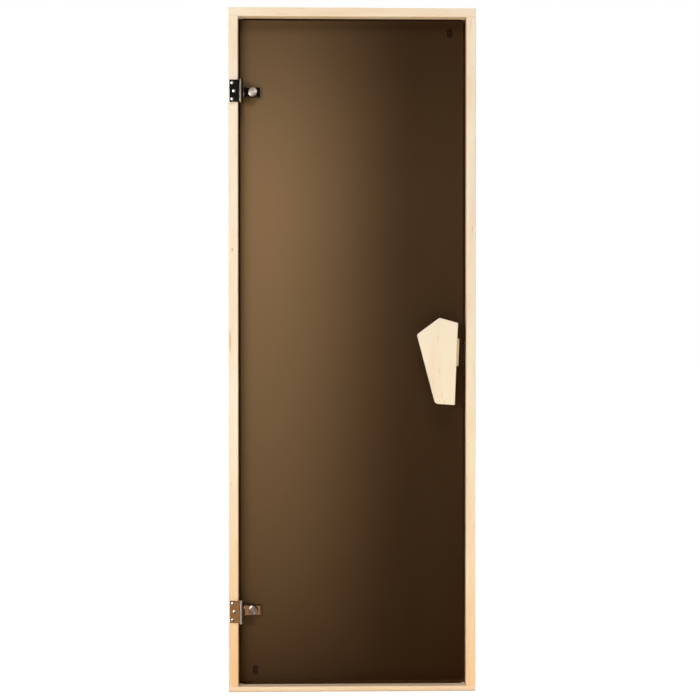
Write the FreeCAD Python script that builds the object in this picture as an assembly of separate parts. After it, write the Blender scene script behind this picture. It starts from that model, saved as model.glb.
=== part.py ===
import FreeCAD, Part
import math
import os

from FreeCAD import Vector

# A glass sauna door hung in a slim wooden frame, in millimetres.
# X runs from the hinge side to the latch side, Y into the sauna room, and Z up.
# The origin is on the outer side of the hinge jamb, halfway up the frame and halfway through it.

# Wooden frame
frame_width = 685.0
frame_height = 1895.0
frame_depth = 75.0
jamb_face = 26.0
head_face = 25.0
sill_face = 15.0
stop_reach = 12.0
wood_arris = 1.5

# Toughened glass
glass_thickness = 8.0
glass_recess = 24.0
hinge_gap = 5.0
latch_gap = 7.5
head_gap = 5.0
sill_gap = 9.0
glass_corner_cut = 3.0
glass_arris = 0.8

# Seals glued in the rebates: a nose on the stop, just clear of the closed glass, and a leg along its side
seal_height = 4.5
seal_width = 6.0
seal_inset = 0.5
seal_round = 2.0
seal_skin = 1.2
seal_leg = 13.5
seal_clearance = 1.0

# Hinge places and pins
upper_hinge_drop = 231.0
lower_hinge_rise = 224.0
axis_overhang = 10.0
knuckle_radius = 5.0
knuckle_gap = 0.5
pin_radius = 2.75
pin_clearance = 0.05
pin_head_radius = 4.5
pin_head_height = 3.0
pin_head_bevel = 1.0
pin_tip = 0.8

# Hinge leaves on the frame
leaf_height = 62.0
leaf_thickness = 3.0
leaf_inset = 3.0
leaf_clearance = 1.0
screw_hole_radius = 2.6
screw_spacing = 22.5
screw_inset = 8.0
screw_stagger = 5.0

# Clamps that hold the glass
clamp_height = 31.0
clamp_reach = 53.0
clamp_thickness = 6.0
clamp_arm = 5.0
clamp_bend = 3.0
clamp_edge = 2.5
back_clamp_thickness = 5.0
back_clamp_clearance = 7.0
pad_thickness = 1.0
pad_setback = 2.0
bolt_reach = 31.0
bolt_radius = 4.0
bolt_clearance = 0.1
sleeve_radius = 6.9
sleeve_clearance = 0.1
cap_radius = 12.5
cap_height = 8.0
cap_bevel = 1.2
nut_radius = 10.0
nut_height = 6.0
nut_bevel = 1.5

# Handles: a five-sided plate on a block, outside and inside
handle_height = 941.0
handle_from_edge = 33.5
handle_thickness = 20.0
handle_edge = 1.5
handle_corners = [(-35, 97, 4), (16, 83, 3), (7, -144, 2.5), (-47, -140, 11), (-97.5, 51, 8)]
block_corners = [(-21.5, -37, 3), (18.5, -37, 3), (21.5, 40, 3), (-18.5, 40, 3)]
block_depth = 24.0
stud_radius = 3.0
stud_clearance = 0.1
stud_spacing = 50.0
stud_depth = 10.0
stud_glass_hole = 5.0

# Magnetic catch on the latch stop, and the steel strike on the glass
catch_height = 60.0
catch_width = 9.0
catch_thickness = 3.0
catch_side_gap = 1.0
strike_height = 60.0
strike_width = 11.0
strike_thickness = 1.2
strike_inset = 0.5

# Planes of the frame
front = -frame_depth / 2
back = frame_depth / 2
top = frame_height / 2
foot = -frame_height / 2
latch_side = frame_width
head_under = top - head_face
sill_top = foot + sill_face
hinge_rebate = jamb_face
latch_rebate = frame_width - jamb_face
glass_front = front + glass_recess
glass_back = glass_front + glass_thickness
stop_face = glass_back + seal_clearance + seal_height
hinge_stop = hinge_rebate + stop_reach
latch_stop = latch_rebate - stop_reach
head_stop = head_under - stop_reach
sill_stop = sill_top + stop_reach

# Edges of the glass, and the hinge axis
glass_left = hinge_rebate + hinge_gap
glass_right = latch_rebate - latch_gap
glass_top = head_under - head_gap
glass_foot = sill_top + sill_gap
axis_x = jamb_face + axis_overhang
axis_y = front - knuckle_radius
hinge_heights = {"upper": top - upper_hinge_drop, "lower": foot + lower_hinge_rise}

# Faces of the glass clamps
clamp_back = glass_front - pad_thickness
clamp_front = clamp_back - clamp_thickness
clamp_end = axis_x + clamp_reach
back_clamp_start = hinge_stop + back_clamp_clearance
back_clamp_front = glass_back + pad_thickness
back_clamp_back = back_clamp_front + back_clamp_thickness
bolt_x = axis_x + bolt_reach

# Middle of the handle's block, and the faces of the handles
handle_x = glass_right - handle_from_edge
handle_z = foot + handle_height
outer_plate_back = glass_front - block_depth
inner_plate_front = glass_back + block_depth


def plan(z):
    """Outline drawn from above, at height z."""
    return lambda u, v: Vector(u, v, z)


def section(x):
    """Outline drawn from the side, in Y and Z, at x."""
    return lambda u, v: Vector(x, u, v)


def elevation(y):
    """Outline drawn from the front, in X and Z, at y."""
    return lambda u, v: Vector(u, y, v)


def outline(corners, place):
    """Face with straight sides between (u, v, radius) corners, each rounded to its radius."""
    points = [place(u, v) for u, v, radius in corners]
    starts = []
    ends = []
    edges = []
    for i, (u, v, radius) in enumerate(corners):
        here = points[i]
        to_last = (points[i - 1] - here).normalize()
        to_next = (points[(i + 1) % len(points)] - here).normalize()
        half_angle = to_last.getAngle(to_next) / 2
        run = radius / math.tan(half_angle)
        starts.append(here + to_last * run)
        ends.append(here + to_next * run)
        if radius > 0:
            inward = (to_last + to_next).normalize()
            middle = here + inward * (radius / math.sin(half_angle) - radius)
            edges.append(Part.Arc(starts[i], middle, ends[i]).toShape())
        else:
            edges.append(None)
    rim = []
    for i in range(len(points)):
        if edges[i]:
            rim.append(edges[i])
        rim.append(Part.makeLine(ends[i], starts[(i + 1) % len(points)]))
    return Part.Face(Part.Wire(rim))


def upright(corners, low, high):
    """Solid with its outline seen from above, from low to high."""
    return outline(corners, plan(low)).extrude(Vector(0, 0, high - low))


def crosswise(corners, left, right):
    """Solid with its outline seen from the side, from left to right."""
    return outline(corners, section(left)).extrude(Vector(right - left, 0, 0))


def facing(corners, near, far):
    """Solid with its outline seen from the front, from near to far."""
    return outline(corners, elevation(near)).extrude(Vector(0, far - near, 0))


def rectangle(left, right, low, high, radius=0.0):
    """Corners of a rectangle with equal rounding."""
    return [(left, low, radius), (right, low, radius), (right, high, radius), (left, high, radius)]


def dubbed(left, right, low, high, cut):
    """Corners of a rectangle with its four corners cut off straight."""
    return [
        (left + cut, low, 0),
        (right - cut, low, 0),
        (right, low + cut, 0),
        (right, high - cut, 0),
        (right - cut, high, 0),
        (left + cut, high, 0),
        (left, high - cut, 0),
        (left, low + cut, 0),
    ]


def rod(x, z, radius, near, far):
    """Round bar along Y."""
    return Part.makeCylinder(radius, far - near, Vector(x, near, z), Vector(0, 1, 0))


def post(radius, low, high):
    """Round bar on the hinge axis."""
    return Part.makeCylinder(radius, high - low, Vector(axis_x, axis_y, low))


def turned(corners, x, z):
    """Solid turned about a line along Y, from (radius, y, rounding) corners."""
    profile = outline([(x + radius, y, rounding) for radius, y, rounding in corners], plan(z))
    return profile.revolve(Vector(x, 0, z), Vector(0, 1, 0), 360)


def joined(first, *others):
    """One solid from pieces that share faces."""
    return first.fuse(list(others)).removeSplitter()


def face_edges(solid, y):
    """Edges that lie in the plane at y."""
    flat = []
    for edge in solid.Edges:
        box = edge.BoundBox
        if abs(box.YMin - y) < 0.001 and abs(box.YMax - y) < 0.001:
            flat.append(edge)
    return flat


def jamb(side, inward):
    """Upright frame member: inward is 1 for the hinge side and -1 for the latch side."""
    rebate = side + inward * jamb_face
    stop = rebate + inward * stop_reach
    corners = [
        (side, front, wood_arris),
        (rebate, front, wood_arris),
        (rebate, stop_face, 0),
        (stop, stop_face, 0),
        (stop, back, wood_arris),
        (side, back, wood_arris),
    ]
    return upright(corners, sill_top, head_under)


def rail(outer, inner, stop):
    """Head or sill: a board across the whole frame, and its stop between the jambs' stops."""
    board = [
        (front, outer, wood_arris),
        (front, inner, wood_arris),
        (back, inner, 0),
        (back, outer, wood_arris),
    ]
    lip = [(stop_face, inner, 0), (stop_face, stop, 0), (back, stop, wood_arris), (back, inner, 0)]
    return joined(crosswise(board, 0, latch_side), crosswise(lip, hinge_stop, latch_stop))


def seal_profile(stop, rebate):
    """Corners, across and in depth, of a seal between the stop's edge and the rebate's side."""
    inward = 1 if stop > rebate else -1
    edge = stop - inward * seal_inset
    far_edge = edge - inward * seal_width
    leg = rebate + inward * seal_skin
    nose = stop_face - seal_height
    skin = stop_face - seal_skin
    leg_end = stop_face - seal_leg
    return [
        (edge, stop_face, 0),
        (edge, nose, seal_round),
        (far_edge, nose, seal_round),
        (far_edge, skin, 0),
        (leg, skin, 0),
        (leg, leg_end, 0),
        (rebate, leg_end, 0),
        (rebate, stop_face, 0),
    ]


def upright_seal(stop, rebate):
    """Seal in a jamb's rebate, from the sill to the head."""
    return upright(seal_profile(stop, rebate), sill_top, head_under)


def level_seal(stop, rebate):
    """Seal in the head's or the sill's rebate, between the two upright seals."""
    corners = [(depth, across, radius) for across, depth, radius in seal_profile(stop, rebate)]
    return crosswise(corners, hinge_stop - seal_inset, latch_stop + seal_inset)


def hinge_leaf(z):
    """Leaf screwed to the jamb, with a knuckle above and below the door's own knuckle."""
    low = z - leaf_height / 2
    high = z + leaf_height / 2
    notch = clamp_height / 2 + knuckle_gap
    plate_edge = axis_x - knuckle_radius - leaf_clearance
    leaf = facing(rectangle(leaf_inset, plate_edge, low, high), front - leaf_thickness, front)
    for bottom, head in ((low, z - notch), (z + notch, high)):
        tongue = facing(rectangle(plate_edge, axis_x, bottom, head), front - leaf_thickness, front)
        leaf = joined(leaf, tongue, post(knuckle_radius, bottom, head))
    leaf = leaf.cut(post(pin_radius + pin_clearance, low, high))
    for x, rise in screw_places():
        leaf = leaf.cut(rod(x, z + rise, screw_hole_radius, front - leaf_thickness, front))
    return leaf


def screw_places():
    """Places of a leaf's three screws, across and above its middle: the middle one is set in."""
    outer = leaf_inset + screw_inset
    return [(outer, screw_spacing), (outer + screw_stagger, 0), (outer, -screw_spacing)]


def hinge_pin(z):
    """Pin through the three knuckles, with a bevelled head below and its tip just out above."""
    low = z - leaf_height / 2
    tip = z + leaf_height / 2 + pin_tip
    bevel = pin_head_radius - pin_head_bevel
    corners = [
        (0, low - pin_head_height, 0),
        (bevel, low - pin_head_height, 0),
        (pin_head_radius, low - pin_head_height + pin_head_bevel, 0),
        (pin_head_radius, low, 0),
        (pin_radius, low, 0),
        (pin_radius, tip, 0),
        (0, tip, 0),
    ]
    profile = outline(corners, lambda u, v: Vector(axis_x + u, axis_y, v))
    return profile.revolve(Vector(axis_x, axis_y, 0), Vector(0, 0, 1), 360)


def hinge_clamp(z):
    """Cranked clamp: its knuckle turns on the pin, and its bevelled plate lies on the glass."""
    low = z - clamp_height / 2
    high = z + clamp_height / 2
    arm_side = axis_x + knuckle_radius
    plate_start = arm_side + clamp_bend
    plate = facing(rectangle(arm_side, clamp_end, low, high), clamp_front, clamp_back)
    plate = plate.makeChamfer(clamp_edge, face_edges(plate, clamp_front))
    crank = [
        (arm_side - clamp_arm, axis_y, 0),
        (arm_side, axis_y, 0),
        (arm_side, clamp_front, clamp_bend),
        (plate_start + clamp_edge, clamp_front, 0),
        (plate_start + clamp_edge, clamp_back, 0),
        (arm_side - clamp_arm, clamp_back, clamp_bend),
    ]
    clamp = joined(upright(crank, low, high), plate, post(knuckle_radius, low, high))
    clamp = clamp.cut(post(pin_radius + pin_clearance, low, high))
    return clamp.cut(rod(bolt_x, z, bolt_radius + bolt_clearance, clamp_front, clamp_back))


def back_clamp(z):
    """Bevelled plate on the inner face of the glass."""
    corners = rectangle(back_clamp_start, clamp_end, z - clamp_height / 2, z + clamp_height / 2)
    plate = facing(corners, back_clamp_front, back_clamp_back)
    plate = plate.makeChamfer(clamp_edge, face_edges(plate, back_clamp_back))
    return plate.cut(rod(bolt_x, z, bolt_radius + bolt_clearance, back_clamp_front, back_clamp_back))


def front_pad(z):
    """Soft pad under the clamp, with a sleeve that keeps the bolt off the glass."""
    corners = rectangle(axis_x + pad_setback, clamp_end, z - clamp_height / 2, z + clamp_height / 2)
    pad = facing(corners, clamp_back, glass_front)
    sleeve = rod(bolt_x, z, sleeve_radius, glass_front, glass_back - sleeve_clearance)
    bore = rod(bolt_x, z, bolt_radius + bolt_clearance, clamp_back, glass_back)
    return joined(pad, sleeve).cut(bore)


def back_pad(z):
    """Soft pad under the back plate."""
    corners = rectangle(back_clamp_start, clamp_end, z - clamp_height / 2, z + clamp_height / 2)
    pad = facing(corners, glass_back, back_clamp_front)
    return pad.cut(rod(bolt_x, z, bolt_radius + bolt_clearance, glass_back, back_clamp_front))


def cap_bolt(z):
    """Bolt through both plates, with a wide turned cap on the outside."""
    crown = clamp_front - cap_height
    tip = back_clamp_back + nut_height / 2
    corners = [
        (0, crown, 0),
        (cap_radius - cap_bevel, crown, 0),
        (cap_radius, crown + cap_bevel, 0),
        (cap_radius, clamp_front, 0),
        (bolt_radius, clamp_front, 0),
        (bolt_radius, tip, 0),
        (0, tip, 0),
    ]
    return turned(corners, bolt_x, z)


def cap_nut(z):
    """Round nut on the bolt's inner end."""
    crown = back_clamp_back + nut_height
    floor = back_clamp_back + nut_height / 2
    corners = [
        (0, crown, 0),
        (nut_radius - nut_bevel, crown, 0),
        (nut_radius, crown - nut_bevel, 0),
        (nut_radius, back_clamp_back, 0),
        (bolt_radius + bolt_clearance, back_clamp_back, 0),
        (bolt_radius + bolt_clearance, floor, 0),
        (0, floor, 0),
    ]
    return turned(corners, bolt_x, z)


def stud_heights():
    """Heights of the two studs that tie the handles together."""
    return (handle_z - stud_spacing / 2, handle_z + stud_spacing / 2)


def glass_pane():
    """Toughened pane with ground edges and dubbed corners, and holes for the sleeves and studs."""
    corners = dubbed(glass_left, glass_right, glass_foot, glass_top, glass_corner_cut)
    pane = facing(corners, glass_front, glass_back)
    rims = face_edges(pane, glass_front) + face_edges(pane, glass_back)
    pane = pane.makeChamfer(glass_arris, rims)
    for z in hinge_heights.values():
        pane = pane.cut(rod(bolt_x, z, sleeve_radius + sleeve_clearance, glass_front, glass_back))
    for z in stud_heights():
        pane = pane.cut(rod(handle_x, z, stud_glass_hole, glass_front, glass_back))
    return pane


def handle_plate(near, seat):
    """Five-sided plate with eased edges: seat is the face that lies on the block."""
    far = near + handle_thickness
    corners = [(handle_x + x, handle_z + z, radius) for x, z, radius in handle_corners]
    plate = facing(corners, near, far)
    plate = plate.makeChamfer(handle_edge, face_edges(plate, near) + face_edges(plate, far))
    inner = seat - stud_depth
    for z in stud_heights():
        plate = plate.cut(rod(handle_x, z, stud_radius + stud_clearance, inner, inner + 2 * stud_depth))
    return plate


def handle_block(near, far):
    """Block between a handle's plate and the glass: its sides run with the plate's latch side."""
    corners = [(handle_x + x, handle_z + z, radius) for x, z, radius in block_corners]
    block = facing(corners, near, far)
    for z in stud_heights():
        block = block.cut(rod(handle_x, z, stud_radius + stud_clearance, near, far))
    return block


def handle_studs():
    """Two studs from the outer plate to the inner one, through both blocks and the glass."""
    near = outer_plate_back - stud_depth
    far = inner_plate_front + stud_depth
    return Part.makeCompound([rod(handle_x, z, stud_radius, near, far) for z in stud_heights()])


def magnet_catch():
    """Magnet housing on the latch stop, level with the handle's block."""
    left = latch_stop + catch_side_gap
    corners = rectangle(
        left, left + catch_width, handle_z - catch_height / 2, handle_z + catch_height / 2, catch_side_gap
    )
    return facing(corners, stop_face - catch_thickness, stop_face)


def strike_plate():
    """Steel plate bonded to the inner face of the glass, in front of the magnet."""
    right = glass_right - strike_inset
    low = handle_z - strike_height / 2
    corners = rectangle(right - strike_width, right, low, low + strike_height)
    return facing(corners, glass_back, glass_back + strike_thickness)


parts = {
    "head": rail(top, head_under, head_stop),
    "sill": rail(foot, sill_top, sill_stop),
    "hinge_jamb": jamb(0, 1),
    "latch_jamb": jamb(latch_side, -1),
}

catch_reach = catch_height / 2 + catch_side_gap
catch_place = rectangle(latch_stop, latch_rebate - seal_skin, handle_z - catch_reach, handle_z + catch_reach)
parts["hinge_side_seal"] = upright_seal(hinge_stop, hinge_rebate)
parts["latch_side_seal"] = upright_seal(latch_stop, latch_rebate).cut(facing(catch_place, glass_back, stop_face))
parts["head_seal"] = level_seal(head_stop, head_under)
parts["sill_seal"] = level_seal(sill_stop, sill_top)

for level, height in hinge_heights.items():
    parts[level + "_hinge_leaf"] = hinge_leaf(height)
    parts[level + "_hinge_pin"] = hinge_pin(height)
    parts[level + "_hinge_clamp"] = hinge_clamp(height)
    parts[level + "_hinge_back_plate"] = back_clamp(height)
    parts[level + "_hinge_front_pad"] = front_pad(height)
    parts[level + "_hinge_back_pad"] = back_pad(height)
    parts[level + "_hinge_cap_bolt"] = cap_bolt(height)
    parts[level + "_hinge_cap_nut"] = cap_nut(height)

parts["glass_pane"] = glass_pane()
parts["outer_handle_plate"] = handle_plate(outer_plate_back - handle_thickness, outer_plate_back)
parts["outer_handle_block"] = handle_block(outer_plate_back, glass_front)
parts["inner_handle_plate"] = handle_plate(inner_plate_front, inner_plate_front)
parts["inner_handle_block"] = handle_block(glass_back, inner_plate_front)
parts["handle_studs"] = handle_studs()
parts["magnet_catch"] = magnet_catch()
parts["strike_plate"] = strike_plate()

os.makedirs("parts", exist_ok=True)
for name, shape in parts.items():
    shape.exportStep("parts/" + name + ".step")
    print(name, "solids", len(shape.Solids), "valid", shape.isValid(), "volume", round(shape.Volume))
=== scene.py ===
import bmesh
import bpy
import math
from mathutils import Matrix, Vector


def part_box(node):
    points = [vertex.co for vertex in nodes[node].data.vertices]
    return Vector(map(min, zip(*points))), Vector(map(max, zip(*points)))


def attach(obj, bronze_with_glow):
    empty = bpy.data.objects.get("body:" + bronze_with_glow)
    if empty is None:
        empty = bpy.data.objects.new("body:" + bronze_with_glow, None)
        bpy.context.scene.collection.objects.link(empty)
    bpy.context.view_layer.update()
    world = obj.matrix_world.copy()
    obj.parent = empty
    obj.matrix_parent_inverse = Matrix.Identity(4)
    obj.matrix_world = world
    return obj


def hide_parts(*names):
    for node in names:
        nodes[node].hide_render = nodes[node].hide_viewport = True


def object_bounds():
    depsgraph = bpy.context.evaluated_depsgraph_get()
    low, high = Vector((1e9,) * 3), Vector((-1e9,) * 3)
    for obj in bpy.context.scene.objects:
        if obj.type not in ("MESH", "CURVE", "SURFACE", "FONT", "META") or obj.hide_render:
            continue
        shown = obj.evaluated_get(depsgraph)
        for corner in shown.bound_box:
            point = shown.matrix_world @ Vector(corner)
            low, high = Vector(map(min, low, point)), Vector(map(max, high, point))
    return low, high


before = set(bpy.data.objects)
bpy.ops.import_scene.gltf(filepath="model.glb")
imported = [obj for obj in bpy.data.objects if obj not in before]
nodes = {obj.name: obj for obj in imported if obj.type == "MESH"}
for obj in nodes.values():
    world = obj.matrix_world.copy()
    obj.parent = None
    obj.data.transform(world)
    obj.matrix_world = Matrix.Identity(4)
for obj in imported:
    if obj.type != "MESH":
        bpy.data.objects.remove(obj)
cad_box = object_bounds()


# Jambs: two uprights of pale limewood, planed with a rebate for the glass, sanded and left bare.
# Each is cut from one board, so its growth rings are arcs about a pith well outside it.

class Shade:
    """A socket among a material's nodes, so that what varies over a surface reads as an expression."""

    def __init__(self, tree, socket=None):
        self.tree = tree
        self.socket = socket

    def node(self, kind, settings, values, output=0):
        """Adds a node: its settings first, then the values or links of its sockets."""
        made = self.tree.nodes.new("ShaderNode" + kind)
        for setting, value in settings.items():
            setattr(made, setting, value)
        for name, value in values.items():
            if isinstance(value, Shade):
                self.tree.links.new(value.socket, made.inputs[name])
            else:
                made.inputs[name].default_value = value
        return Shade(self.tree, made.outputs[output] if made.outputs else None)

    def also(self, output):
        """Another output of the node that this socket belongs to."""
        return Shade(self.tree, self.socket.node.outputs[output])

    def maths(self, operation, *values):
        return self.node("Math", {"operation": operation}, dict(enumerate(values)))

    def __add__(self, other):
        return self.maths("ADD", self, other)

    def __radd__(self, other):
        return self.maths("ADD", other, self)

    def __sub__(self, other):
        return self.maths("SUBTRACT", self, other)

    def __rsub__(self, other):
        return self.maths("SUBTRACT", other, self)

    def __mul__(self, other):
        return self.maths("MULTIPLY", self, other)

    def __rmul__(self, other):
        return self.maths("MULTIPLY", other, self)

    def __truediv__(self, other):
        return self.maths("DIVIDE", self, other)

    def __pow__(self, other):
        return self.maths("POWER", self, other)

    def size(self):
        return self.maths("ABSOLUTE", self)

    def step(self, low, high):
        """0 below low, 1 above high, and smooth in between."""
        values = {"Value": self, "From Min": low, "From Max": high}
        return self.node("MapRange", {"interpolation_type": "SMOOTHSTEP"}, values)

    def mix(self, first, second):
        """Colour that goes from the first to the second as this goes from 0 to 1."""
        settings = {"data_type": "RGBA", "clamp_factor": True}
        return self.node("Mix", settings, {0: self, 6: first, 7: second}, output=2)


def new_finish(name):
    """Empty material, and the shade that adds its nodes."""
    made = bpy.data.materials.new(name)
    made.use_nodes = True
    made.node_tree.nodes.clear()
    return made, Shade(made.node_tree)


def surface(start, values):
    """Ends a material with its shader and the values or links of the shader's sockets."""
    shader = start.node("BsdfPrincipled", {}, values)
    start.node("OutputMaterial", {}, {"Surface": shader})


def screen(red, green, blue):
    """Linear colour of a colour given as a screen shows it, from 0 to 255."""
    return [((value / 255 + 0.055) / 1.055) ** 2.4 for value in (red, green, blue)] + [1.0]


def millimetres(start):
    """Object coordinates in millimetres, as three shades."""
    place = start.node("TexCoord", {}, {}, output="Object")
    x = start.node("SeparateXYZ", {}, {"Vector": place})
    return x * 1000, x.also("Y") * 1000, x.also("Z") * 1000


def blobs(start, first, second, third, detail=2.0):
    """Noise over three lengths that are already divided by the size of its blobs."""
    place = start.node("CombineXYZ", {}, {"X": first, "Y": second, "Z": third})
    return start.node("TexNoise", {}, {"Vector": place, "Scale": 1.0, "Detail": detail})


def limewood(name, upright, pith, warmth, foot_deepening=0.0, knots=()):
    """Sanded limewood: faint rings about the pith, fine fibres along the grain and a few honey flecks.
    Foot deepening is how much deeper an upright board's colour is towards its foot. A knot is given by
    its place across and along the board, then its half width and half length."""
    made, start = new_finish(name)
    x, depth, z = millimetres(start)
    across = x if upright else z
    along = z if upright else x
    ring_width = 3.1
    wander = (blobs(start, across / 90, depth / 90, along / 700) - 0.5) * 16
    reach = ((across - pith[0]) ** 2 + (depth - pith[1]) ** 2) ** 0.5
    late = (((reach + wander) / ring_width).maths("PINGPONG", 1.0)) ** 4
    fibre = blobs(start, across / 0.7, depth / 0.7, along / 45, detail=3.0)
    patch = blobs(start, across / 38, depth / 38, along / 260, detail=1.0)
    fleck = blobs(start, (across + pith[1]) / 5, depth / 5, (along + pith[0]) / 75).step(0.69, 0.76)
    for place, height, half_width, half_length in knots:
        edge = ((across - place) / half_width) ** 2 + ((along - height) / half_length) ** 2
        fleck = fleck.maths("MAXIMUM", fleck, 1 - edge.step(0.1, 1.3))
    pore = blobs(start, across / 0.3, depth / 0.3, along / 3)
    deeper_at_foot = (0 - along).step(150, 950) * foot_deepening
    deep = late * 0.28 + (patch - 0.4) * 0.9 + (fibre - 0.5) * 0.5 + warmth + deeper_at_foot
    plain = deep.mix(screen(248, 235, 215), screen(232, 193, 149))
    flecked = (fleck * 0.7).mix(plain, screen(219, 170, 108))
    normal = start.node("TexCoord", {}, {}, output="Normal")
    facing_x = start.node("SeparateXYZ", {}, {"Vector": normal})
    end_grain = (facing_x.also("Z") if upright else facing_x).size().step(0.7, 0.9)
    whole = (end_grain * 0.4).mix(flecked, screen(205, 160, 108))
    relief = fibre * 0.7 + pore * 0.3
    bump = start.node("Bump", {}, {"Strength": 0.35, "Distance": 0.0002, "Height": relief})
    surface(start, {
        "Base Color": whole,
        "Roughness": 0.5 + fibre * 0.16,
        "Specular IOR Level": 0.3,
        "Normal": bump,
    })
    return made


def dress(node, finish):
    """Gives a node of the frame its finish."""
    nodes[node].data.materials.clear()
    nodes[node].data.materials.append(finish)


left_knots = ((10.5, 279, 3.4, 5.5), (4.5, 25, 3.4, 34))
dress("hinge_jamb", limewood("Limewood hinge jamb", True, (-70, 60), 0.03, 0.9, left_knots))
dress("latch_jamb", limewood("Limewood latch jamb", True, (770, -110), 0.05, 0.6))


# Head and sill: level boards of the same limewood over and under the jambs, with a lip as the stop.
# They are glued and screwed to the jambs' ends, and their grain runs across the door.

dress("head", limewood("Limewood head", False, (1010, 55), 0.2))
dress("sill", limewood("Limewood sill", False, (-1020, -90), 0.5))


# Seals: dark brown silicone strips in the rebates, each a soft nose on the stop and a thin leg
# along the rebate's side. They are pressed in all round, and the latch side's nose stops at the catch.

silicone, start = new_finish("Seal silicone")
x, y, z = millimetres(start)
dust = blobs(start, x / 14, y / 14, z / 60)
bloom = blobs(start, x / 0.8, y / 0.8, z / 0.8)
surface(start, {
    "Base Color": dust.mix(screen(84, 54, 24), screen(100, 66, 32)),
    "Roughness": 0.6 + bloom * 0.2,
    "Specular IOR Level": 0.15,
    "Normal": start.node("Bump", {}, {"Strength": 0.3, "Distance": 0.00005, "Height": bloom}),
})
for side in ("hinge_side", "latch_side", "head", "sill"):
    dress(side + "_seal", silicone)


# Hinge leaves: stamped steel plates with rolled knuckles, polished and chromed, on the jamb's face.
# Their edges are softened by the polishing, which catches the light.

def placed(name, mesh):
    """Object with this mesh, at the origin."""
    piece = bpy.data.objects.new(name, mesh)
    bpy.context.scene.collection.objects.link(piece)
    return piece


def eased(node, bronze_with_glow, finish, width, steps):
    """Copy of a node with its facets merged and its edges rounded, which stands for the node."""
    shape = bmesh.new()
    shape.from_mesh(nodes[node].data)
    bmesh.ops.remove_doubles(shape, verts=shape.verts, dist=1e-6)
    flat = math.radians(0.5)
    bmesh.ops.dissolve_limit(shape, angle_limit=flat, verts=shape.verts, edges=shape.edges)
    mesh = bpy.data.meshes.new(node + "_eased")
    shape.to_mesh(mesh)
    shape.free()
    mesh.shade_smooth()
    mesh.materials.append(finish)
    piece = placed(node + "_eased", mesh)
    bevel = piece.modifiers.new("Eased edges", "BEVEL")
    bevel.width = width
    bevel.segments = steps
    bevel.limit_method = "ANGLE"
    bevel.angle_limit = math.radians(25)
    bevel.use_clamp_overlap = False
    flat_faces = piece.modifiers.new("Flat faces", "WEIGHTED_NORMAL")
    flat_faces.mode = "FACE_AREA"
    flat_faces.weight = 100
    flat_faces.keep_sharp = True
    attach(piece, bronze_with_glow)
    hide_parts(node)


# The rolled knuckles are duller than the flat plates. Their colour is painted reflection: dark on the
# upper hinge, bright and warm on the lower one.
pin_low, pin_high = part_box("upper_hinge_pin")
pin_middle = (pin_low.x + pin_high.x) / 2 * 1000
roll_inside, roll_outside = 4.6, 5.6
chrome, start = new_finish("Polished chrome")
x, y, z = millimetres(start)
rolled = 1 - (x - pin_middle).size().step(roll_inside, roll_outside)
knuckle_painted_reflection = z.step(-100, 100).mix(screen(206, 188, 179), screen(84, 76, 64))
rubbing = blobs(start, x / 9, y / 9, z / 9, detail=4.0)
haze = blobs(start, x / 0.5, y / 0.5, z / 6)
wave = blobs(start, x / 12, y / 12, z / 12, detail=0.0)
surface(start, {
    "Base Color": rolled.mix(rubbing.mix(screen(214, 212, 210), screen(232, 231, 230)), knuckle_painted_reflection),
    "Metallic": 1.0,
    "Roughness": 0.05 + rubbing * 0.06 + haze * 0.05 + rolled * 0.28,
    "Normal": start.node("Bump", {}, {"Strength": 0.25, "Distance": 0.0005, "Height": wave}),
})

leaf_ease = 0.0004
for level in ("upper", "lower"):
    eased(level + "_hinge_leaf", "door_frame", chrome, leaf_ease, 2)


# Leaf screws: three zinc-plated steel screws in each leaf, with domed heads and a cross recess.
# They are driven through the leaf into the jamb, and each stops at its own angle.

def lathe(name, profile, axis_x, axis_z, steps):
    """Closed mesh turned about a line along Y, from (radius, y) points from the line and back to it."""
    shape = bmesh.new()
    rings = []
    for radius, y in profile:
        count = steps if radius > 0 else 1
        ring = []
        for i in range(count):
            turn = math.tau * i / steps
            ring.append(shape.verts.new((
                axis_x + radius * math.cos(turn),
                y,
                axis_z + radius * math.sin(turn),
            )))
        rings.append(ring)
    for near, far in zip(rings, rings[1:]):
        for i in range(steps):
            here = i % len(near)
            after = (i + 1) % len(near)
            corners = [near[here], near[after], far[(i + 1) % len(far)], far[i % len(far)]]
            shape.faces.new(list(dict.fromkeys(corners)))
    bmesh.ops.recalc_face_normals(shape, faces=shape.faces)
    mesh = bpy.data.meshes.new(name)
    shape.to_mesh(mesh)
    shape.free()
    return mesh


def smooth(mesh, degrees):
    """Smooth shading, but for edges sharper than this."""
    mesh.shade_smooth()
    mesh.set_sharp_from_angle(angle=math.radians(degrees))


def box_between(shape, low, high):
    """Adds a closed box to a bmesh."""
    size = high - low
    place = Matrix.Translation((low + high) / 2) @ Matrix.Diagonal((*size, 1))
    bmesh.ops.create_cube(shape, size=1, matrix=place)


zinc, start = new_finish("Zinc-plated steel")
x, y, z = millimetres(start)
spangle = blobs(start, x / 1.6, y / 1.6, z / 1.6)
surface(start, {
    "Base Color": spangle.mix(screen(190, 186, 177), screen(208, 206, 199)),
    "Metallic": 1.0,
    "Roughness": 0.4 + spangle * 0.14,
})

head_radius = 0.0046
head_rim = 0.0005
dome_height = 0.0016
shank_radius = 0.0024
shank_depth = 0.0028
dome_steps = 6
dome = [(0, -head_rim - dome_height)]
for i in range(1, dome_steps + 1):
    turn = math.pi / 2 * i / dome_steps
    dome.append((head_radius * math.sin(turn), -head_rim - dome_height * math.cos(turn)))
shank = [(shank_radius, 0), (shank_radius, shank_depth), (0, shank_depth)]
screw_profile = dome + [(head_radius, 0)] + shank
screw = placed("screw", lathe("screw", screw_profile, 0, 0, 28))

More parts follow.
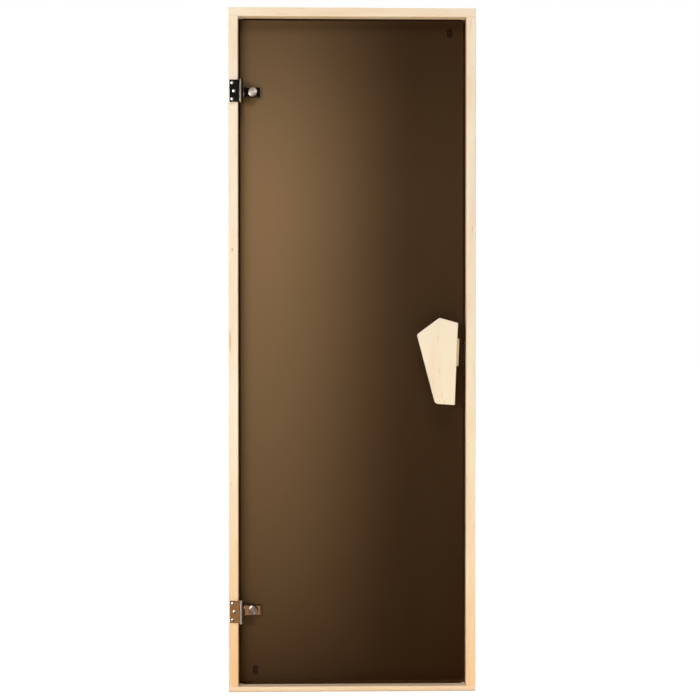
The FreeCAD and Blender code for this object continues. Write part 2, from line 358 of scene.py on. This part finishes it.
recess_reach = 0.0021
recess_half = 0.00045
recess_depth = 0.0011
recess = bmesh.new()
top = -head_rim - dome_height
for reach_x, reach_z in ((recess_reach, recess_half), (recess_half, recess_reach)):
    low = Vector((-reach_x, top - recess_depth, -reach_z))
    high = Vector((reach_x, top + recess_depth, reach_z))
    box_between(recess, low, high)
recess_mesh = bpy.data.meshes.new("recess")
recess.to_mesh(recess_mesh)
recess.free()
cutter = placed("recess", recess_mesh)
cut = screw.modifiers.new("Recess", "BOOLEAN")
cut.object = cutter
cut.operation = "DIFFERENCE"
cut.solver = "EXACT"
cut.use_self = True
evaluated = screw.evaluated_get(bpy.context.evaluated_depsgraph_get())
cut_mesh = bpy.data.meshes.new_from_object(evaluated)
screw.modifiers.clear()
screw.data = cut_mesh
bpy.data.objects.remove(cutter)
smooth(screw.data, 40)


def geometry_tree(name, inputs):
    """Geometry Nodes tree with one geometry in and out, and named inputs given as name to kind."""
    tree = bpy.data.node_groups.new(name, "GeometryNodeTree")
    tree.interface.new_socket("Geometry", in_out="INPUT", socket_type="NodeSocketGeometry")
    for label, kind in inputs.items():
        tree.interface.new_socket(label, in_out="INPUT", socket_type="NodeSocket" + kind)
    tree.interface.new_socket("Geometry", in_out="OUTPUT", socket_type="NodeSocketGeometry")
    return tree, tree.nodes.new("NodeGroupInput").outputs


def work(tree, kind, settings, values, output=0):
    """Adds one geometry node and returns one of its outputs."""
    made = tree.nodes.new(kind)
    for setting, value in settings.items():
        setattr(made, setting, value)
    for name, value in values.items():
        if isinstance(value, bpy.types.NodeSocket):
            tree.links.new(value, made.inputs[name])
        else:
            made.inputs[name].default_value = value
    return made.outputs[output]


def end_tree(tree, geometry, material):
    """Realizes the instances, sets the material and ends the tree."""
    real = work(tree, "GeometryNodeRealizeInstances", {}, {"Geometry": geometry})
    dressed = work(tree, "GeometryNodeSetMaterial", {}, {"Geometry": real, "Material": material})
    tree.links.new(dressed, tree.nodes.new("NodeGroupOutput").inputs[0])


def grown(name, points, edges, tree, values):
    """Piece that a tree makes from points and edges, as a plain mesh. Inputs are set by identifier."""
    mesh = bpy.data.meshes.new(name + "_points")
    mesh.from_pydata(points, edges, [])
    start = placed(name + "_start", mesh)
    modifier = start.modifiers.new(tree.name, "NODES")
    modifier.node_group = tree
    for socket in tree.interface.items_tree:
        if socket.in_out == "INPUT" and socket.name in values:
            modifier[socket.identifier] = values[socket.name]
    evaluated = start.evaluated_get(bpy.context.evaluated_depsgraph_get())
    result = bpy.data.meshes.new_from_object(evaluated)
    bpy.data.objects.remove(start)
    result.name = name
    return placed(name, result)


tree, inputs = geometry_tree("Leaf screws", {
    "Screw": "Object",
    "Size": "Float",
    "Turn seed": "Int",
    "Finish": "Material",
})
head = work(tree, "GeometryNodeObjectInfo", {}, {"Object": inputs["Screw"]}, output="Geometry")
angle = work(tree, "FunctionNodeRandomValue", {"data_type": "FLOAT"}, {
    2: 0.0,
    3: math.pi,
    "Seed": inputs["Turn seed"],
}, output=1)
turned = work(tree, "ShaderNodeCombineXYZ", {}, {"Y": angle})
screws = work(tree, "GeometryNodeInstanceOnPoints", {}, {
    "Points": inputs["Geometry"],
    "Instance": head,
    "Rotation": turned,
    "Scale": inputs["Size"],
})
end_tree(tree, screws, inputs["Finish"])

leaf_thickness = 0.003
screw_inset = 0.008
screw_stagger = 0.005
screw_spacing = 0.0225
screw_points = []
for level in ("upper", "lower"):
    low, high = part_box(level + "_hinge_leaf")
    leaf_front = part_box("hinge_jamb")[0].y - leaf_thickness
    middle = (low.z + high.z) / 2
    outer = low.x + screw_inset
    for inset, rise in ((0, screw_spacing), (screw_stagger, 0), (0, -screw_spacing)):
        screw_points.append((outer + inset, leaf_front, middle + rise))
leaf_screws = grown("leaf_screws", screw_points, [], tree, {
    "Screw": screw,
    "Size": 1.0,
    "Turn seed": 7,
    "Finish": zinc,
})
bpy.data.objects.remove(screw)
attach(leaf_screws, "door_frame")


# Hinge pins: chromed steel pins through the three knuckles of each hinge, with a head below.
# They are pushed in from below, and the door comes off once they are driven out.

for level in ("upper", "lower"):
    dress(level + "_hinge_pin", chrome)


# Glass clamps: cranked chromed castings with bevelled plates, and a plain bevelled plate inside.
# The bolt squeezes the glass between them.

clamp_ease = 0.0005
for level in ("upper", "lower"):
    eased(level + "_hinge_clamp", "door_leaf", chrome, clamp_ease, 2)
    eased(level + "_hinge_back_plate", "door_leaf", chrome, clamp_ease, 2)


# Pads: thin dark plastic sheets, die cut, between the clamps and the glass.
# Their sleeve keeps the bolt off the edge of its hole.

pad_plastic, start = new_finish("Pad plastic")
x, y, z = millimetres(start)
grit = blobs(start, x / 0.4, y / 0.4, z / 0.4)
surface(start, {
    "Base Color": grit.mix(screen(34, 33, 32), screen(46, 45, 43)),
    "Roughness": 0.5 + grit * 0.2,
    "Normal": start.node("Bump", {}, {"Strength": 0.3, "Distance": 0.00004, "Height": grit}),
})
for level in ("upper", "lower"):
    dress(level + "_hinge_front_pad", pad_plastic)
    dress(level + "_hinge_back_pad", pad_plastic)


# Caps and nuts: the wide bolt heads outside and the round nuts inside, turned from steel bar.
# The lathe leaves fine rings on a cap's face, and they spread its highlight into a bow tie.

turned_steel, start = new_finish("Turned steel")
x, y, z = millimetres(start)
stain = blobs(start, x / 5, y / 5, z / 5, detail=3.0)
surface(start, {
    "Base Color": stain.mix(screen(180, 163, 149), screen(204, 188, 176)),
    "Metallic": 1.0,
    "Roughness": 0.3 + stain * 0.12,
})

cap_bevel = 0.0012
ring_pitch = 0.0006
ring_depth = 0.00006
ring_points = 4
face_margin = 0.0004
bolt_radius = 0.004
clamp_thickness = 0.006
nut_ease = 0.0003
for level in ("upper", "lower"):
    low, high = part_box(level + "_hinge_cap_bolt")
    cap_radius = (high.x - low.x) / 2
    centre_x = (low.x + high.x) / 2
    centre_z = (low.z + high.z) / 2
    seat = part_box(level + "_hinge_front_pad")[0].y - clamp_thickness
    face_radius = cap_radius - cap_bevel - face_margin
    profile = [(0, low.y + ring_depth)]
    ring_count = round(face_radius / ring_pitch)
    for i in range(1, ring_count * ring_points + 1):
        radius = face_radius * i / (ring_count * ring_points)
        height = ring_depth * (0.5 + 0.5 * math.cos(math.tau * i / ring_points))
        profile.append((radius, low.y + height))
    profile += [
        (cap_radius - cap_bevel, low.y),
        (cap_radius - cap_bevel / 3, low.y + cap_bevel / 3),
        (cap_radius, low.y + cap_bevel),
        (cap_radius, seat),
        (bolt_radius, seat),
        (bolt_radius, high.y),
        (0, high.y),
    ]
    cap = placed(level + "_hinge_cap", lathe(level + "_hinge_cap", profile, centre_x, centre_z, 72))
    smooth(cap.data, 35)
    cap.data.materials.append(turned_steel)
    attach(cap, "door_leaf")
    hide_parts(level + "_hinge_cap_bolt")
    eased(level + "_hinge_cap_nut", "door_leaf", turned_steel, nut_ease, 2)


# Glass pane: toughened glass, bronze all through, with satin-etched faces and ground edges.
# It scatters light softly and shows nothing behind it. Its colour holds a painted glow, palest a little
# below the upper hinge.

bronze_glass, start = new_finish("Bronze satin glass")
x, y, z = millimetres(start)
normal = start.node("TexCoord", {}, {}, output="Normal")
face = start.node("SeparateXYZ", {}, {"Vector": normal}).also("Y").size().step(0.6, 0.95)
etch = blobs(start, x / 160, y / 160, z / 240, detail=3.0)
deep_bronze = (0.02, 0.0065, 0.0005, 1)
glow_bronze = (0.224, 0.139, 0.069, 1)
edge_bronze = (0.07, 0.042, 0.022, 1)
# Painted glow across the pane, fading towards the latch, the foot and the top, with painted shadow of
# the jamb along the hinge edge.
glow_across_with_jamb_shadow = x.step(-40, 75) - x.step(80, 530) * 0.83
glow_towards_foot = z.maths("MINIMUM", (z + 1000) / 1350, 1.0) ** 0.78
glow_towards_top = 1 - z.step(400, 1370)
painted_glow = glow_across_with_jamb_shadow * glow_towards_foot * glow_towards_top + (etch - 0.5) * 0.04
bronze_with_glow = painted_glow.mix(deep_bronze, glow_bronze)
surface(start, {
    "Base Color": face.mix(edge_bronze, bronze_with_glow),
    "Roughness": 0.5 + etch * 0.06,
    "Specular IOR Level": 0.05,
})
dress("glass_pane", bronze_glass)


# Glass marks: two small stamps fired into the outer face, in opposite corners of the pane.
# They are plain: an upright ring with a dot and two bars.

enamel, start = new_finish("Fired enamel")
x, y, z = millimetres(start)
speck = blobs(start, x / 0.6, y / 0.6, z / 0.6)
surface(start, {
    "Base Color": speck.mix(screen(8, 5, 2), screen(16, 10, 5)),
    "Roughness": 0.7 + speck * 0.1,
    "Specular IOR Level": 0.05,
})

mark_width = 0.0135
mark_height = 0.025
mark_line = 0.0026
mark_round = 0.005
mark_thickness = 0.00004
dot_size = 0.0064
dot_round = 0.0031
dot_rise = 0.0052
bar_width = 0.007
bar_height = 0.003
bar_round = 0.0005
bar_rises = (-0.0018, -0.0064)
mark_places = {"upper": (0.614, 0.884), "lower": (0.072, -0.892)}


def outward(mesh):
    """Merges a closed mesh's doubles and turns its faces outwards."""
    shape = bmesh.new()
    shape.from_mesh(mesh)
    bmesh.ops.remove_doubles(shape, verts=shape.verts, dist=1e-7)
    bmesh.ops.recalc_face_normals(shape, faces=shape.faces)
    shape.to_mesh(mesh)
    shape.free()


def add_outline(curve, width, height, radius, middle):
    """Adds a rounded rectangle to a flat curve."""
    points = []
    for corner_x, corner_y, first in ((1, 1, 0), (-1, 1, 90), (-1, -1, 180), (1, -1, 270)):
        for i in range(7):
            turn = math.radians(first + 15 * i)
            points.append((
                corner_x * (width / 2 - radius) + radius * math.cos(turn),
                corner_y * (height / 2 - radius) + radius * math.sin(turn) + middle,
            ))
    spline = curve.splines.new("POLY")
    spline.points.add(len(points) - 1)
    for point, (across, up) in zip(spline.points, points):
        point.co = (across, up, 0, 1)
    spline.use_cyclic_u = True


for level, (mark_x, mark_z) in mark_places.items():
    drawing = bpy.data.curves.new(level + "_mark_drawing", "CURVE")
    drawing.dimensions = "2D"
    drawing.fill_mode = "BOTH"
    drawing.extrude = mark_thickness / 2
    inner_width = mark_width - 2 * mark_line
    add_outline(drawing, mark_width, mark_height, mark_round, 0)
    add_outline(drawing, inner_width, mark_height - 2 * mark_line, mark_round - mark_line, 0)
    add_outline(drawing, dot_size, dot_size, dot_round, dot_rise)
    for bar_rise in bar_rises:
        add_outline(drawing, bar_width, bar_height, bar_round, bar_rise)
    sketch = placed(level + "_mark_drawing", drawing)
    evaluated = sketch.evaluated_get(bpy.context.evaluated_depsgraph_get())
    flat_mark = bpy.data.meshes.new_from_object(evaluated)
    bpy.data.objects.remove(sketch)
    glass_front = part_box("glass_pane")[0].y
    upright_turn = Matrix.Rotation(math.pi / 2, 4, "X")
    to_glass = Matrix.Translation((mark_x, glass_front - mark_thickness / 2, mark_z))
    flat_mark.transform(to_glass @ upright_turn)
    outward(flat_mark)
    flat_mark.materials.clear()
    flat_mark.materials.append(enamel)
    mark = placed(level + "_glass_mark", flat_mark)
    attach(mark, "door_leaf")


# Handles: five-sided limewood plates on limewood blocks, outside and inside, sanded with soft edges.
# Two studs through the glass tie them together, and their faces are bare.

handle_wood = limewood("Limewood handles", True, (560, -160), -0.06)
block_wood = limewood("Limewood blocks", True, (700, 80), 0.2)
plate_ease = 0.0009
block_ease = 0.0005
for side in ("outer", "inner"):
    eased(side + "_handle_plate", "door_leaf", handle_wood, plate_ease, 3)
    eased(side + "_handle_block", "door_leaf", block_wood, block_ease, 2)
dress("handle_studs", zinc)


# Magnet catch and strike: a black moulded housing with two steel pole strips, on the latch stop.
# The strike is a thin zinc-plated plate bonded to the inner face of the glass.

# The housing's black is deeper than plain plastic: painted shade where the handle's shadow falls on it.
catch_plastic_and_shade, start = new_finish("Catch plastic")
x, y, z = millimetres(start)
grain = blobs(start, x / 0.35, y / 0.35, z / 0.35)
surface(start, {
    "Base Color": grain.mix(screen(13, 12, 12), screen(20, 19, 19)),
    "Roughness": 0.38 + grain * 0.14,
    "Normal": start.node("Bump", {}, {"Strength": 0.25, "Distance": 0.00004, "Height": grain}),
})
catch_ease = 0.0004
eased("magnet_catch", "door_frame", catch_plastic_and_shade, catch_ease, 2)

catch_low, catch_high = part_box("magnet_catch")
pole_width = 0.0011
pole_rise = 0.0002
pole_end = 0.006
pole_offset = 0.0018
pole_shape = bmesh.new()
catch_middle = (catch_low.x + catch_high.x) / 2
for offset in (-pole_offset, pole_offset):
    pole_middle = catch_middle + offset
    low = Vector((pole_middle - pole_width / 2, catch_low.y - pole_rise, catch_low.z + pole_end))
    high = Vector((pole_middle + pole_width / 2, catch_low.y + pole_rise, catch_high.z - pole_end))
    box_between(pole_shape, low, high)
pole_mesh = bpy.data.meshes.new("catch_poles")
pole_shape.to_mesh(pole_mesh)
pole_shape.free()
pole_mesh.materials.append(zinc)
catch_poles = placed("catch_poles", pole_mesh)
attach(catch_poles, "door_frame")
dress("strike_plate", zinc)


# Floor and background: a pale floor in a white room, white to the eye and in the polished metal.
# The room gives little light of its own, so the lamps shape the door, and the floor keeps its shadow.

def seen_directly(start):
    """1 for the rays that look at something or are mirrored or sent on by it, and 0 for its light."""
    camera = start.node("LightPath", {}, {}, output="Is Camera Ray")
    mirrored = camera.maths("MAXIMUM", camera, camera.also("Is Glossy Ray"))
    return camera.maths("MAXIMUM", mirrored, camera.also("Is Transmission Ray"))


floor_level = cad_box[0].z
floor_reach = 40
door_middle = 340
floor_mesh = bpy.data.meshes.new("floor")
floor_mesh.from_pydata([
    (-floor_reach, -floor_reach, floor_level),
    (floor_reach, -floor_reach, floor_level),
    (floor_reach, floor_reach, floor_level),
    (-floor_reach, floor_reach, floor_level),
], [], [(0, 1, 2, 3)])
floor = placed("floor", floor_mesh)
floor_paint, start = new_finish("Pale floor")
warm = start.node("BsdfDiffuse", {}, {"Color": (0.7, 0.62, 0.5, 1)})
shaded = start.node("BsdfDiffuse", {}, {"Color": (0.22, 0.22, 0.22, 1)})
x, y, z = millimetres(start)
away = ((x - door_middle) ** 2 + y ** 2) ** 0.5
glow_colour = away.step(900, 3500).mix((0.93, 0.93, 0.93, 1), (1, 1, 1, 1))
glow = start.node("Emission", {}, {"Color": glow_colour, "Strength": 1.0})
bright = start.node("AddShader", {}, {0: glow, 1: shaded})
both = start.node("MixShader", {}, {0: seen_directly(start), 1: warm, 2: bright})
start.node("OutputMaterial", {}, {"Surface": both})
floor_mesh.materials.append(floor_paint)

world = bpy.data.worlds.new("White room")
world.use_nodes = True
world.node_tree.nodes.clear()
start = Shade(world.node_tree)
ambient = 0.06
room = start.node("Background", {}, {
    "Color": (1, 1, 1, 1),
    "Strength": ambient + seen_directly(start) * (1 - ambient),
})
start.node("OutputWorld", {}, {"Surface": room})
bpy.context.scene.world = world


# Studio: soft lamps on the left, overhead and behind the door, and warm light off the floor.
# Only mirrored rays see the cards round the front: black ones that darken the upper chrome, a brown
# one on the floor for the lower chrome, and two lit screens on the left for the caps and screws.

def flag(name, corners, paint):
    """Flat card that only mirrored rays see."""
    mesh = bpy.data.meshes.new(name)
    mesh.from_pydata(corners, [], [tuple(range(len(corners)))])
    mesh.materials.append(paint)
    card = placed(name, mesh)
    card.visible_camera = False
    card.visible_diffuse = False
    card.visible_transmission = False
    card.visible_shadow = False


def flag_paint(name, red, green, blue):
    """Paint of a card that glows evenly."""
    made, start = new_finish(name)
    glow = start.node("Emission", {}, {"Color": (red, green, blue, 1), "Strength": 1.0})
    start.node("OutputMaterial", {}, {"Surface": glow})
    return made


black_card = flag_paint("Black card", 0.006, 0.005, 0.004)
flag_radius = 6.5
flag_height = 6
flag_turns = 12
flag_advance = 0.3
middle_x = (cad_box[0].x + cad_box[1].x) / 2
rim = []
for i in range(flag_turns + 1):
    turn = math.radians(180 + 180 * i / flag_turns)
    rim.append((middle_x + flag_radius * math.cos(turn), flag_radius * math.sin(turn) - flag_advance))
for i, (here, after) in enumerate(zip(rim, rim[1:])):
    flag("black_flag_" + str(i), [
        (*here, floor_level),
        (*after, floor_level),
        (*after, flag_height),
        (*here, flag_height),
    ], black_card)
flag("black_ceiling", [(x, y, flag_height) for x, y in rim], black_card)

card_rise = 0.002
card_bands = {
    "near": (-flag_radius, flag_radius, -0.7, -0.04, (0.03, 0.02, 0.012)),
    "middle": (-0.3, 0.12, -1.3, -0.7, (0.4, 0.185, 0.068)),
    "left": (-flag_radius, -0.3, -1.3, -0.7, (0.03, 0.02, 0.012)),
    "right": (0.12, flag_radius, -1.3, -0.7, (0.03, 0.02, 0.012)),
    "far": (-flag_radius, flag_radius, -flag_radius, -1.3, (0.01, 0.007, 0.005)),
}
for band, (left, right, far, near, colour) in card_bands.items():
    flag("floor_card_" + band, [
        (left, far, floor_level + card_rise),
        (right, far, floor_level + card_rise),
        (right, near, floor_level + card_rise),
        (left, near, floor_level + card_rise),
    ], flag_paint("Floor card " + band, *colour))

screen_radius = 3.2
screen_middle = 0.3
screen_low, screen_high = -0.2, 1.2
for name, first, last, level in (("inner", 26, 38, 18.8), ("outer", 38, 58, 28.0)):
    ends = []
    for angle in (first, last):
        turn = math.radians(angle)
        ends.append((screen_middle - screen_radius * math.sin(turn), -screen_radius * math.cos(turn)))
    flag(name + "_screen", [
        (*ends[0], screen_low),
        (*ends[1], screen_low),
        (*ends[1], screen_high),
        (*ends[0], screen_high),
    ], flag_paint("Lit " + name + " screen", level, level, level))


def soft_light(name, place, aim, size, energy, colour):
    """Rectangular lamp of this width and height, which mirrored rays do not see."""
    data = bpy.data.lights.new(name, "AREA")
    data.shape = "RECTANGLE"
    data.size, data.size_y = size
    data.energy = energy
    data.color = colour
    lamp = bpy.data.objects.new(name, data)
    lamp.location = place
    lamp.rotation_euler = (Vector(aim) - Vector(place)).to_track_quat("-Z", "Y").to_euler()
    lamp.visible_glossy = False
    lamp.visible_camera = False
    bpy.context.scene.collection.objects.link(lamp)


soft_light("Soft lamp", (-4.52, -6.15, 1.42), (0.34, 0, 0.1), (3.6, 1.2), 240, (1, 1, 1))
soft_light("Top light", (0.34, -2.5, 4.5), (0.34, 0, -0.3), (2, 1.5), 118, (1, 1, 1))
soft_light("Back light", (2.6, 4.4, 1.6), (0.34, 0, 0), (4, 3), 150, (1, 1, 1))
bounce = (0.34, -1.243, floor_level + 0.0008)
soft_light("Floor bounce", bounce, (0.34, -1.243, 1), (5, 2.4), 40, (1, 0.88, 0.63))


# Camera: at the photograph's place, nearly square on and a little above half height.
# It looks down very slightly, and is turned slightly to the latch side.

look_down = 0.0102
turn_to_latch = 0.0183
camera_data = bpy.data.cameras.new("Camera")
camera_data.lens = 60.36
camera_data.sensor_width = 36
camera = bpy.data.objects.new("Camera", camera_data)
camera.location = (0.2764, -3.2875, 0.0348)
camera.rotation_euler = (math.pi / 2 - look_down, 0, -turn_to_latch)
bpy.context.scene.collection.objects.link(camera)
bpy.context.scene.camera = camera
bpy.context.scene.view_settings.view_transform = "Standard"
